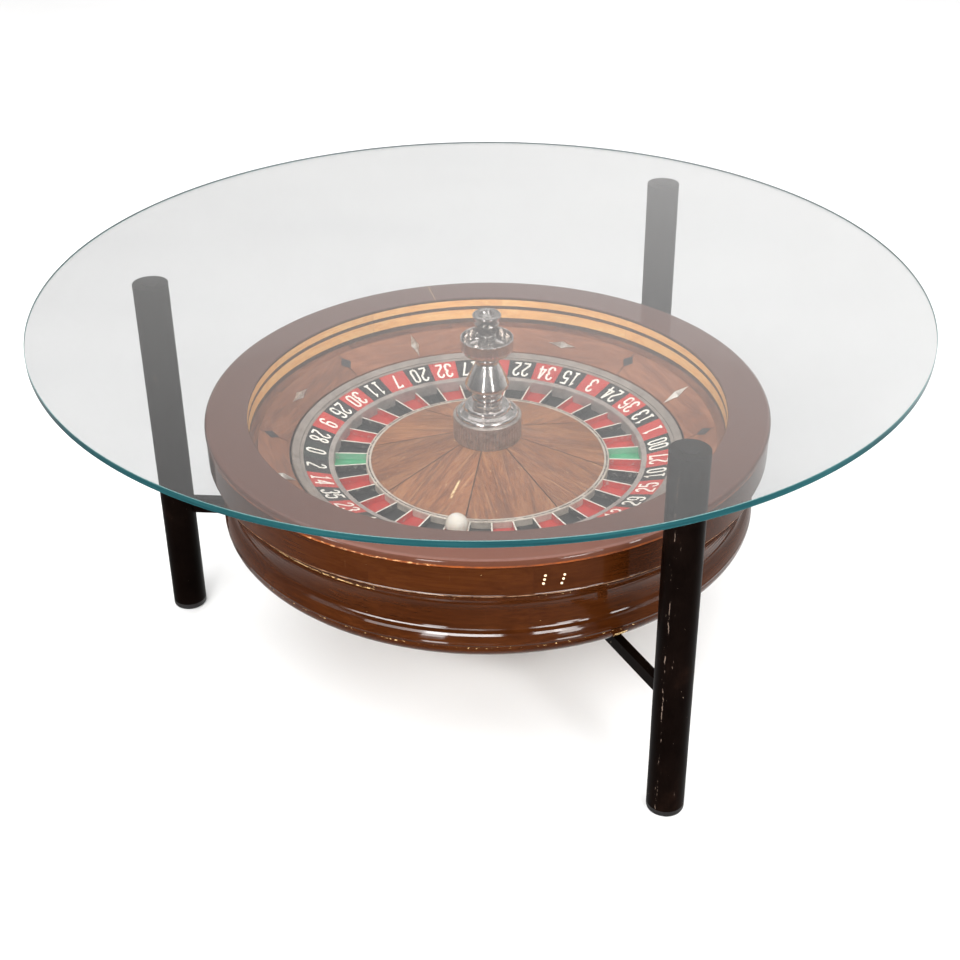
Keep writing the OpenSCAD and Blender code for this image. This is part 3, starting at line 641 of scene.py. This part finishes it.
def strokes(digit):
    """Centre lines of a tall condensed digit in a box 1 wide and 2 high, each as (points, closed)."""
    w, r = 0.37, 0.34
    left, right, low, high = 0.5 - w, 0.5 + w, 0.13, 1.87
    top = bend(0.5, high - r, w, r, 180, 0)
    bottom = bend(0.5, low + r, w, r, 0, -180)
    return {
        "0": [(top + bottom, True)],
        "1": [([(0.22, 1.55), (0.52, high), (0.52, low)], False), ([(0.20, low), (0.84, low)], False)],
        "2": [(bend(0.5, high - r, w, r, 190, -10)
               + [(right, 1.22), (left + 0.02, 0.42), (left, low), (right, low)], False)],
        "3": [(bend(0.5, high - r, w, r, 190, 0) + [(right, 1.30)]
               + bend(0.5, 1.30, w, 0.26, 0, -80, 4), False),
              (bend(0.5, 0.78, w, 0.26, 80, 0, 4) + [(right, low + r)]
               + bend(0.5, low + r, w, r, 0, -190), False)],
        "4": [([(0.66, low), (0.66, high), (0.58, high), (0.08, 0.62), (0.96, 0.62)], False)],
        "5": [([(right, high), (left + 0.02, high), (left, 1.10)] + bend(0.5, 0.90, w, 0.28, 130, 0, 5)
               + bend(0.5, low + r, w, r, 0, -190), False)],
        "6": [(bend(0.5, high - r, w, r, 0, 180) + [(left, low + r)] + bend(0.5, low + r, w, r, 180, 360)
               + bend(0.5, 0.88, w, 0.26, 0, 165, 6), False)],
        "7": [([(left, 1.62), (left, high), (right, high), (0.36, low)], False)],
        "9": [(bend(0.5, low + r, w, r, 180, 360) + [(right, high - r)] + bend(0.5, high - r, w, r, 0, 180)
               + bend(0.5, 1.12, w, 0.26, 180, 345, 6), False)],
    }[digit]


def eight():
    """The 8 is two closed loops that share their crossing."""
    w = 0.36
    upper = bend(0.5, 1.50, w * 0.94, 0.37, 0, 345, 15)
    lower = bend(0.5, 0.56, w, 0.43, 0, 345, 15)
    return [(upper, True), (lower, True)]


def ribbon(points, closed, width):
    """Left and right edges of a stroke with mitred corners."""
    count = len(points)
    left, right = [], []
    for i, (x, y) in enumerate(points):
        before = points[i - 1] if i or closed else None
        after = points[(i + 1) % count] if i + 1 < count or closed else None
        normals = []
        for p, q in ((before, (x, y)), ((x, y), after)):
            if p is None or q is None:
                continue
            dx, dy = q[0] - p[0], q[1] - p[1]
            size = math.hypot(dx, dy) or 1
            normals.append((-dy / size, dx / size))
        nx, ny = sum(n[0] for n in normals), sum(n[1] for n in normals)
        size = math.hypot(nx, ny) or 1
        nx, ny = nx / size, ny / size
        slant = max(0.55, nx * normals[0][0] + ny * normals[0][1])
        half = width / 2 / slant
        left.append((x + nx * half, y + ny * half))
        right.append((x - nx * half, y - ny * half))
    return left, right


def numerals():
    """Every number in its cell, painted a hair proud of the band, tops toward the axis."""
    outer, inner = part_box("number_trim_ring"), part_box("pocket_wall_ring")
    r_out, r_in = outer[1].x - 5 * MM, inner[1].x
    z_out, z_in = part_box("numbers_black")[1].z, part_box("pocket_wall_ring")[1].z
    slope = (z_out - z_in) / (r_out - r_in)
    high, wide, gap, brush = 30 * MM, 11.6 * MM, 3.0 * MM, 3.1 * MM
    middle = (r_out + r_in) / 2
    verts, faces = [], []

    def to_band(cell, x, y, lift):
        """x across the cell, to the reader's right; y up the digit, which is toward the axis."""
        radius = middle + high / 2 - y
        bearing = cell + x / middle
        z = z_in + slope * (radius - r_in) + lift
        return radius * math.cos(bearing), radius * math.sin(bearing), z

    for i, number in enumerate(NUMBERS):
        cell = ZERO_BEARING - i * PITCH
        total = wide * len(number) + gap * (len(number) - 1)
        for k, digit in enumerate(number):
            start = -total / 2 + k * (wide + gap)
            for points, closed in (eight() if digit == "8" else strokes(digit)):
                scaled = [(start + x * wide, y * high / 2) for x, y in points]
                left, right = ribbon(scaled, closed, brush)
                base, n = len(verts), len(points)
                for lift in (0.22 * MM, -0.05 * MM):
                    for edge in (left, right):
                        verts.extend(to_band(cell, x, y, lift) for x, y in edge)
                spans = range(n if closed else n - 1)
                for j in spans:
                    m = (j + 1) % n
                    a, b, c, d = base, base + n, base + 2 * n, base + 3 * n
                    faces += [
                        (a + j, a + m, b + m, b + j), (c + j, d + j, d + m, c + m),
                        (a + j, c + j, c + m, a + m), (b + j, b + m, d + m, d + j),
                    ]
                if not closed:
                    for j in (0, n - 1):
                        faces.append((base + j, base + n + j, base + 3 * n + j, base + 2 * n + j))
    ob = piece("numerals", verts, faces, [numeral_paint()])
    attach(ob, "rotor")


# ---- Pieces ----


def glass_disc():
    """The plate with ground arrises, its underside a hair above the pads so that the two never coincide."""
    low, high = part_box("glass_top")
    centre = (low.x + high.x) / 2, (low.y + high.y) / 2
    r, arris, under = (high.x - low.x) / 2, 0.7 * MM, low.z + 0.1 * MM
    profile = [
        (0, under), (r - arris, under), (r, low.z + arris), (r, high.z - arris),
        (r - 0.35 * arris, high.z - 0.3 * arris), (r - arris, high.z), (0, high.z),
    ]
    face, edge, ground = range(3)
    slots = (face, ground, edge, ground, ground, face, face)
    ob = lathe(GLASS, profile, [pane(), pane_edge(), pane_arris()], slots, centre, 384, 20)
    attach(ob, "glass")
    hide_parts("glass_top")


def deflectors():
    """Long four-pointed studs with hollowed sides and sharp ridges."""
    plated = metal("deflector_plate", (0.74, 0.70, 0.63), (0.36, 0.32, 0.27), 0.3, 0.2, 120.0, metallic=0.75)
    # They lie on the cone of veneer that climbs from (r_in, z_in) to (r_out, z_out)
    r_in, z_in = 290.5 * MM, 313 * MM
    r_out, z_out = 334 * MM, 334.5 * MM
    slope = math.atan2(z_out - z_in, r_out - r_in)
    radius = 312.5 * MM
    half_l, half_w, top, foot = 23 * MM, 7 * MM, 7 * MM, 0.7 * MM
    tips = ((half_l, 0), (0, half_w), (-half_l, 0), (0, -half_w))
    rim = []
    for tip, after in zip(tips, tips[1:] + tips[:1]):
        rim.append(tip)
        for f in (0.25, 0.5, 0.75):
            pull = 1 - 0.14 * math.sin(math.pi * f)
            rim.append(((tip[0] + (after[0] - tip[0]) * f) * pull, (tip[1] + (after[1] - tip[1]) * f) * pull))
    n = len(rim)
    verts, faces = [], []
    height = z_in + math.tan(slope) * (radius - r_in)
    for k in range(8):
        turn = math.radians(22 + 45 * k)
        place = (
            Matrix.Rotation(turn, 4, "Z") @ Matrix.Translation((radius, 0, height))
            @ Matrix.Rotation(-slope, 4, "Y") @ Matrix.Rotation(math.radians(90 * (k % 2)), 4, "Z")
        )
        base = len(verts)
        for z in (0.0, foot):
            verts += [place @ Vector((x, y, z)) for x, y in rim]
        verts.append(place @ Vector((0, 0, top)))
        faces.append(tuple(base + j for j in range(n)))
        for j in range(n):
            m = (j + 1) % n
            faces.append((base + j, base + m, base + n + m, base + n + j))
            faces.append((base + n + j, base + n + m, base + 2 * n))
    ob = piece("deflectors", verts, faces, [plated])
    bevel = ob.modifiers.new("worn_edges", "BEVEL")
    bevel.width, bevel.segments = 0.25 * MM, 2
    bevel.limit_method, bevel.angle_limit = "ANGLE", math.radians(12)
    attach(ob, "stand")
    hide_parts("radial_deflectors", "cross_deflectors")


def filler_dots():
    """Two short slanting columns of filled pin holes in the front of the bowl."""
    g = Graph("pale_filler")
    fine = g.noise(g.place, 700.0, 3.0, 0.6)
    tone = g.ramp(fine, (0.35, (0.66, 0.42, 0.24)), (0.6, (0.92, 0.70, 0.49)))
    filler = g.set(
        colour=tone, rough=g.span(fine, 0.3, 0.8, 0.5, 0.7), normal=g.bump(fine, 0.0001, 0.4), specular=0.2,
    )
    wall, steps = 405.3 * MM, 14
    # Bearing in degrees and height in millimetres of each plug
    left_column = ((-79.9, 356.3), (-80.06, 350.4), (-80.23, 344.5))
    right_column = ((-76.4, 354.2), (-76.6, 348.3), (-76.9, 341.8))
    verts, faces = [], []
    for bearing, height in left_column + right_column:
        turn = math.radians(bearing)
        out, along = Vector((math.cos(turn), math.sin(turn), 0)), Vector((-math.sin(turn), math.cos(turn), 0))
        base = len(verts)
        for depth, size in ((-0.8 * MM, 1.7 * MM), (0.25 * MM, 1.7 * MM), (0.45 * MM, 1.2 * MM)):
            for k in range(steps):
                a = TAU * k / steps
                up = Vector((0, 0, height * MM + size * math.sin(a)))
                verts.append(out * (wall + depth) + along * size * math.cos(a) + up)
        for row in (0, 1):
            for k in range(steps):
                m = (k + 1) % steps
                low = base + row * steps
                faces.append((low + k, low + m, low + steps + m, low + steps + k))
        faces += [tuple(base + k for k in range(steps)), tuple(base + 2 * steps + k for k in range(steps))]
    ob = piece("filler_dots", verts, faces, [filler])
    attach(ob, "stand")


def dress():
    """Gives each CAD node its material."""
    black = black_paint("black_paint")
    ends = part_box("leg_front")
    scratched = black_paint("scratched_paint", (ends[0] + ends[1]) / 2)
    bowl = lacquered_bowl("mahogany_bowl", 12, 8.0)
    rim = lacquered_bowl("mahogany_rim", 12, 21.0, rim_wear_and_painted_light=True)
    blond = ((0.78, 0.37, 0.105), (0.92, 0.50, 0.165), (0.97, 0.64, 0.26))
    smoked = ((0.030, 0.014, 0.009), (0.060, 0.027, 0.016), (0.10, 0.045, 0.027))
    walnut = ((0.140, 0.046, 0.019), (0.232, 0.081, 0.035), (0.325, 0.128, 0.060))
    russet = ((0.080, 0.024, 0.010), (0.17, 0.056, 0.024), (0.27, 0.105, 0.048))
    inky = ((0.010, 0.008, 0.008), (0.020, 0.016, 0.015), (0.045, 0.036, 0.032))
    maple = plain_wood("maple", 10, 14.0, blond, coat=0.2, fine=380.0, figure=30.0, seam=0.25, spread=0.05)
    dark = plain_wood("dark_wood", 10, 3.0, smoked)
    stator = plain_wood("stator_walnut", 8, 0.0, walnut, gloss=0.32, coat=0.2, fine=260.0, figure=26.0)
    track = plain_wood("track_wood", 12, 10.0, russet)
    ebony = plain_wood("ebony", 8, 22.5, inky, radial=True)
    steel = metal("steel", (0.52, 0.52, 0.53), (0.22, 0.20, 0.18), 0.28)
    iron = moulded("cast_iron", (0.035, 0.035, 0.037), 0.55)
    brass = metal("screw_brass", (0.62, 0.42, 0.16), (0.26, 0.17, 0.07), 0.3)
    chrome = metal("turret_chrome", (0.74, 0.70, 0.67), (0.44, 0.38, 0.34), 0.06, 0.10, 70.0)
    dull_chrome = metal("finial_chrome", (0.60, 0.57, 0.54), (0.36, 0.32, 0.30), 0.05, 0.08, 90.0)
    collar = metal("collar_nickel", (0.56, 0.50, 0.45), (0.30, 0.25, 0.21), 0.30, 0.18, 90.0, (1, 1, 0.1))
    ring = ring_metal("ring_metal", (0.35, 0.30, 0.26), (0.21, 0.175, 0.15), 0.42)
    wall = ring_metal("wall_metal", (0.42, 0.37, 0.33), (0.25, 0.21, 0.19), 0.42)
    pale_ring = ring_metal("inner_ring_metal", (0.64, 0.56, 0.47), (0.38, 0.32, 0.26), 0.42, 176.4 * MM)
    fret = fret_paint((0.92, 0.85, 0.74), (0.50, 0.026, 0.018), (0.16, 0.42, 0.26))
    red = enamel("red_enamel", (0.46, 0.020, 0.014), (0.60, 0.036, 0.024), (0.74, 0.20, 0.13))
    black_cell = enamel("black_enamel", (0.006, 0.006, 0.006), (0.014, 0.013, 0.013), (0.10, 0.09, 0.085))
    zero_cell = enamel("zero_enamel", (0.008, 0.016, 0.013), (0.016, 0.028, 0.023), (0.12, 0.15, 0.13))
    green = enamel("green_enamel", (0.035, 0.30, 0.13), (0.085, 0.47, 0.22), (0.50, 0.70, 0.55), streaks=0.6)
    dress_map = {
        "leg_back leg_left leg_top_plugs": black,
        "stretcher_front stretcher_back stretcher_left stretcher_boss": black,
        "leg_front": scratched,
        "foot_plugs": moulded("foot_rubber", (0.010, 0.009, 0.009), 0.5),
        "glass_pads": soft_pad(),
        "stretcher_screws": brass,
        "centre_bolt flange_screws spindle bearing_spacer spindle_washer spindle_nut": steel,
        "bearing_inner_races bearing_outer_races bearing_balls housing_screws": steel,
        "turret_plate turret_stud": steel,
        "base_board": raw_board(),
        "lower_ring upper_ring": bowl,
        "rim_cap": rim,
        "maple_bands": maple,
        "dark_bands": dark,
        "ball_track": track,
        "stator_ring rotor_base rotor_rim rotor_cone": dark,
        "stator_panels": stator,
        "diamond_inlays": ebony,
        "spindle_flange bearing_housing": iron,
        "outer_trim_ring number_trim_ring": ring,
        "pocket_wall_ring": wall,
        "inner_trim_ring": pale_ring,
        "frets": fret,
        "numbers_red pockets_red": red,
        "numbers_black pockets_black": black_cell,
        "numbers_green": zero_cell,
        "pockets_green": green,
        "cone_panels": cone_veneer(),
        "turret_collar": collar,
        "turret_bell turret_body turret_dish": chrome,
        "turret_finial": dull_chrome,
        "ball": ball_ivory(),
    }
    for names, mat in dress_map.items():
        for name in names.split():
            mesh = nodes[name].data
            mesh.materials.clear()
            mesh.materials.append(mat)


# ---- Studio ----


def lamp(name, place, aim, size, watts):
    data = bpy.data.lights.new(name, "AREA")
    data.shape, data.size, data.size_y, data.energy = "RECTANGLE", *size, watts
    ob = bpy.data.objects.new(name, data)
    ob.location = place
    ob.rotation_euler = (Vector(aim) - Vector(place)).to_track_quat("-Z", "Y").to_euler()
    bpy.context.scene.collection.objects.link(ob)
    return ob


def studio():
    scene = bpy.context.scene
    scene.view_settings.view_transform = "Standard"
    world = bpy.data.worlds.new("studio")
    scene.world = world
    world.use_nodes = True
    tree = world.node_tree
    back = tree.nodes["Background"]
    coords = tree.nodes.new("ShaderNodeTexCoord")
    split = tree.nodes.new("ShaderNodeSeparateXYZ")
    tree.links.new(coords.outputs["Generated"], split.inputs[0])

    def climb(axis, *limits):
        node = tree.nodes.new("ShaderNodeMapRange")
        tree.links.new(split.outputs[axis], node.inputs[0])
        for k, value in enumerate(limits):
            node.inputs[k + 1].default_value = value
        return node.outputs[0]

    def together(operation, a, b):
        node = tree.nodes.new("ShaderNodeMath")
        node.operation = operation
        tree.links.new(a, node.inputs[0])
        tree.links.new(b, node.inputs[1])
        return node.outputs[0]

    # A pale backdrop behind the table, and a room that is dim on the photographer's side and on the left
    depth = together("ADD", climb("Y", -0.35, 0.6, 0.10, 0.98), climb("Y", 0.78, 0.93, 0.03, 0.40))
    level = together("MULTIPLY", depth, climb("X", -0.35, 0.35, 0.70, 1.30))
    tree.links.new(level, back.inputs["Strength"])
    back.inputs["Color"].default_value = (1.0, 0.99, 0.98, 1)
    aim, far = (0, 0, 0.35), 2.7
    low, tall = 0.42, 1.3
    # Long low strips draw the lines along the bowl, upright ones the stripes on the turret.
    # Each is a name, a bearing, a height, a size, its watts and whether the pane mirrors it
    strips = (
        ("strip_far_left", -142, 2.05, (1.2, low), 22, False),
        ("strip_left", -118, 2.05, (1.2, low), 28, True),
        ("strip_middle", -95, 2.05, (1.0, low), 26, False),
        ("strip_right", -64, 2.05, (0.8, low), 22, True),
        ("strip_far_right", -42, 2.05, (1.0, low), 24, True),
        ("strip_glow", -114, 1.95, (2.6, 0.5), 30, False),
        ("upright_left", -110, 1.15, (0.40, tall), 24, True),
        ("upright_right", -60, 1.15, (0.40, tall), 24, True),
    )
    # Seen from behind, the pane would be covered by hard white blocks if it mirrored them all
    spared = bpy.data.collections.new("spared_by_strips")
    spared.objects.link(bpy.data.objects[GLASS])
    spared.collection_objects[0].light_linking.link_state = "EXCLUDE"
    for name, bearing, height, size, watts, mirrored in strips:
        turn = math.radians(bearing)
        ob = lamp(name, (far * math.cos(turn), far * math.sin(turn), height), aim, size, watts)
        if not mirrored:
            ob.light_linking.receiver_collection = spared
    lamp("top", (0.0, 0.6, 4.2), (0, 0.6, 0), (7.0, 7.0), 385)
    g = Graph("studio_floor")
    grain = g.noise(g.place, 3.0, 3.0)
    pale = g.ramp(grain, (0.3, (0.70, 0.70, 0.70)), (0.7, (0.72, 0.72, 0.72)))
    g.set(colour=pale, rough=0.85, specular=0.1)
    half = 9
    corners = [(-half, -half, 0), (half, -half, 0), (half, half, 0), (-half, half, 0)]
    floor = piece("floor", corners, [(0, 1, 2, 3)], [g.mat])
    # Glossy wood and paint mirror the dim room, not the bright floor
    floor.visible_glossy = False


def camera():
    """A 59 mm lens on a 36 mm frame, two metres in front and looking down at the wheel."""
    data = bpy.data.cameras.new("photo_view")
    data.sensor_width, data.lens = 36, 58.859
    data.clip_start, data.clip_end = 0.05, 60
    ob = bpy.data.objects.new("photo_view", data)
    pitch, yaw, roll = math.radians(31.669), math.radians(-0.331), math.radians(-0.522)
    ahead = Vector((math.sin(yaw) * math.cos(pitch), math.cos(yaw) * math.cos(pitch), -math.sin(pitch)))
    side = Vector((math.cos(yaw), -math.sin(yaw), 0))
    up = side.cross(ahead)
    c, s = math.cos(roll), math.sin(roll)
    x, y = c * side + s * up, -s * side + c * up
    rows = Matrix((x, y, -ahead)).transposed().to_4x4()
    ob.matrix_world = Matrix.Translation((0, -1.9978, 1.4827)) @ rows
    bpy.context.scene.collection.objects.link(ob)
    bpy.context.scene.camera = ob


camera()
dress()
glass_disc()
deflectors()
filler_dots()
numerals()
studio()
